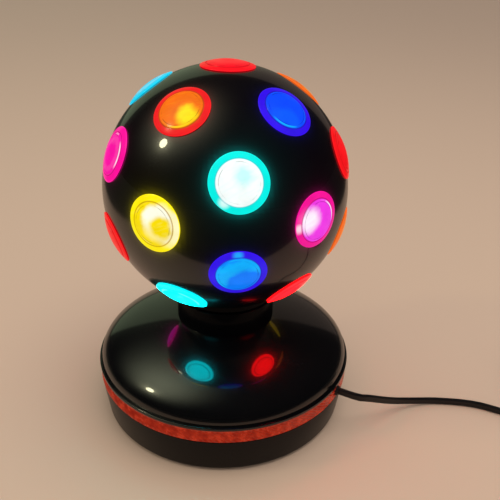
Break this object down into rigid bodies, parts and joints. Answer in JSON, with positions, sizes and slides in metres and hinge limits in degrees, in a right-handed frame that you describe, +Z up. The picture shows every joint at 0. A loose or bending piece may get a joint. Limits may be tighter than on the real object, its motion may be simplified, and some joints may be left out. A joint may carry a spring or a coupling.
{
  "type": "rotating disco ball lamp",
  "caption": "Glossy black ball set with round coloured lenses, turning on a round motor base with a red band, with a lamp inside and a mains cord.",
  "frame": {"origin": "on the table under the ball's axis, at the centre of the base", "axes": "+Z up along the ball's axis, -Y towards the front, +X to the right, the side the cord leaves on"},
  "size_m": [0.443, 0.1728, 0.2338],
  "materials": {
    "black_gloss": "mirror-smooth moulded black",
    "band_red": "translucent red with fine upright prisms",
    "foot_rubber": "dull moulded rubber",
    "steel": "plated",
    "nylon": "natural moulded nylon",
    "black_satin": "satin moulded black",
    "white_holder": "white heat-proof moulding",
    "brass": "bright",
    "bulb_glass": "clear",
    "cord_vinyl": "smooth black vinyl",
    "lens_red": "clear tinted, polished",
    "lens_orange": "clear tinted, polished",
    "lens_yellow": "clear tinted, polished",
    "lens_magenta": "clear tinted, polished",
    "lens_blue": "clear tinted, polished",
    "lens_cyan": "clear tinted, polished"
  },
  "bodies": {
    "base": {"base_housing": "black_gloss", "top_cover": "black_gloss", "base_band": "band_red", "foot_1": "foot_rubber", "foot_2": "foot_rubber", "foot_3": "foot_rubber", "foot_4": "foot_rubber", "strain_relief": "foot_rubber", "cover_screw_1": "steel", "cover_screw_2": "steel", "cover_screw_3": "steel", "stem_screw_1": "steel", "stem_screw_2": "steel", "motor_can": "steel", "motor_plate": "steel", "motor_screw_1": "steel", "motor_screw_2": "steel", "thrust_washer": "nylon", "lamp_stem": "black_satin", "plug_body": "black_satin", "lamp_holder": "white_holder", "terminal_block": "white_holder", "bulb_cap": "brass", "plug_blade_1": "brass", "plug_blade_2": "brass", "bulb_glass": "bulb_glass", "cord": "cord_vinyl", "cord_coil": "cord_vinyl", "supply_lead": "cord_vinyl", "lamp_lead": "cord_vinyl", "motor_lead": "cord_vinyl"},
    "pinion": {"drive_pinion": "nylon"},
    "ball": {"turntable": "black_gloss", "ball_shell": "black_gloss", "lens_01": "lens_red", "lens_02": "lens_blue", "lens_03": "lens_orange", "lens_04": "lens_magenta", "lens_05": "lens_cyan", "lens_06": "lens_orange", "lens_07": "lens_cyan", "lens_08": "lens_red", "lens_09": "lens_blue", "lens_10": "lens_yellow", "lens_11": "lens_magenta", "lens_12": "lens_magenta", "lens_13": "lens_cyan", "lens_14": "lens_orange", "lens_15": "lens_blue", "lens_16": "lens_yellow", "lens_17": "lens_blue", "lens_18": "lens_orange", "lens_19": "lens_magenta", "lens_20": "lens_cyan", "lens_21": "lens_red", "lens_22": "lens_red", "lens_23": "lens_yellow", "lens_24": "lens_blue", "lens_25": "lens_magenta", "lens_26": "lens_cyan"}
  },
  "joints": [
    {"name": "ball_spin", "type": "hinge", "parent": "base", "child": "ball", "pos_m": [0, 0, 0.1566], "axis": [0, 0, 1], "continuous": true},
    {"name": "pinion_spin", "type": "hinge", "parent": "base", "child": "pinion", "pos_m": [0, 0.021, 0], "axis": [0, 0, 1], "continuous": true}
  ],
  "couplings": [
    {"joint": "pinion_spin", "follows": "ball_spin", "ratio": -2.5}
  ]
}
